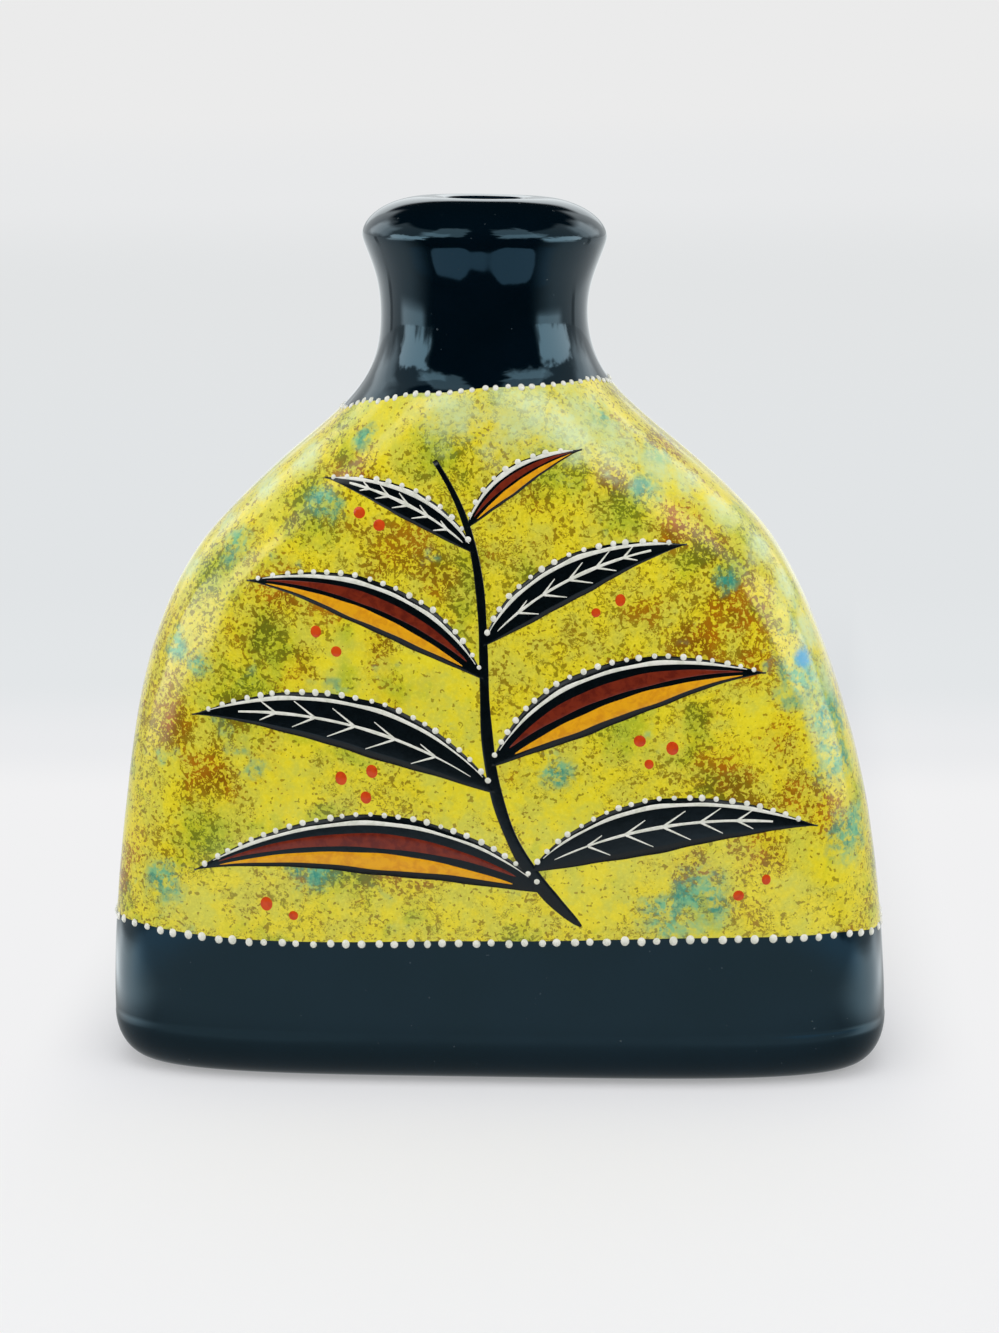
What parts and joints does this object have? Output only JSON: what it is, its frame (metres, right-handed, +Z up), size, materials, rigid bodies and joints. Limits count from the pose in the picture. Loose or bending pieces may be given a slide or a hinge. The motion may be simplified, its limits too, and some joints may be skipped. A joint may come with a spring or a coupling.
{
  "type": "pottery vase",
  "caption": "Flattened pottery vase with a rounded-oblong foot, full sloping shoulders, a short round neck and an in-curled lip, for cut flowers or display.",
  "frame": {"origin": "middle of the foot, on the surface that the vase stands on", "axes": "+Z up through the mouth, +X to the right along the width, -Y out of the front face"},
  "size_m": [0.2066, 0.0664, 0.2264],
  "materials": {
    "black_glaze": "high gloss blue-black glaze",
    "sponged_glaze": "glossy yellow glaze sponged with green and rust"
  },
  "bodies": {
    "root": {"foot_base": "black_glaze", "front_wall": "sponged_glaze", "back_wall": "sponged_glaze", "neck_collar": "black_glaze", "mouth_rim": "black_glaze"}
  },
  "joints": []
}
